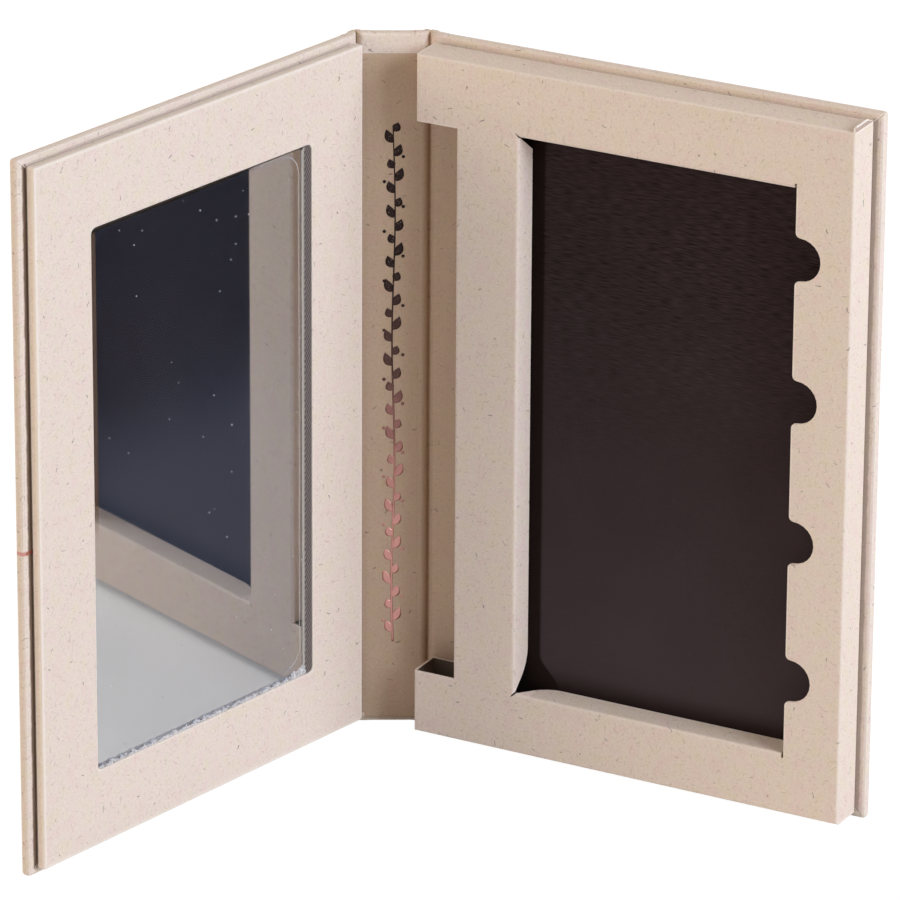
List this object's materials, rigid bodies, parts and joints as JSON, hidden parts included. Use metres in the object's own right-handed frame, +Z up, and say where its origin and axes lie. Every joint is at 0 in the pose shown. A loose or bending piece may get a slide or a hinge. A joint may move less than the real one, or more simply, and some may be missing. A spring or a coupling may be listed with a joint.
{
  "type": "empty makeup palette",
  "caption": "Book-style refillable makeup palette of speckled paper over board: a framed mirror in one cover, a folded card pan tray with a magnetic bed and brush slot in the other.",
  "frame": {"origin": "middle of the back cover's bottom edge, which the open palette stands on", "axes": "+Z up along the covers' height, +Y out of the back cover's outer face, +X from the spine towards the back cover's free edge"},
  "size_m": [0.1343, 0.1069, 0.15],
  "materials": {
    "cover_paper": "matte speckled plant-fibre paper",
    "liner_paper": "matte speckled plant-fibre paper, a darker tone than the covers",
    "tray_card": "matte speckled folded card",
    "grey_board": "raw grey board",
    "mirror_plate": "polished mirror",
    "clear_film": "clear protective film",
    "adhesive": "double-sided adhesive sheet",
    "magnetic_rubber": "satin black magnetic sheet with fine brushed lines",
    "magnet": "nickel plated",
    "steel": "zinc plated"
  },
  "bodies": {
    "back_cover": {"back_cover_board": "grey_board", "back_cover_wrap": "cover_paper", "back_pastedown": "liner_paper", "tray_shell": "tray_card", "tray_floor_board": "grey_board", "magnetic_sheet": "magnetic_rubber", "closure_plate_top": "steel", "closure_plate_bottom": "steel"},
    "spine": {"spine_board": "grey_board", "spine_wrap": "cover_paper", "spine_liner": "liner_paper"},
    "front_cover": {"front_cover_board": "grey_board", "front_cover_wrap": "cover_paper", "front_pastedown": "liner_paper", "mirror_frame_board": "grey_board", "mirror_frame_wrap": "cover_paper", "mirror_adhesive_sheet": "adhesive", "mirror": "mirror_plate", "mirror_film": "clear_film", "closure_magnet_top": "magnet", "closure_magnet_bottom": "magnet"}
  },
  "joints": [
    {"name": "back_hinge", "type": "hinge", "parent": "back_cover", "child": "spine", "pos_m": [-0.0505, 0.0011, 0.075], "axis": [0, 0, 1], "range_deg": [-29.4, 60.6]},
    {"name": "front_hinge", "type": "hinge", "parent": "spine", "child": "front_cover", "pos_m": [-0.064, -0.00651, 0.075], "axis": [0, 0, 1], "range_deg": [-49.2, 40.8]}
  ]
}
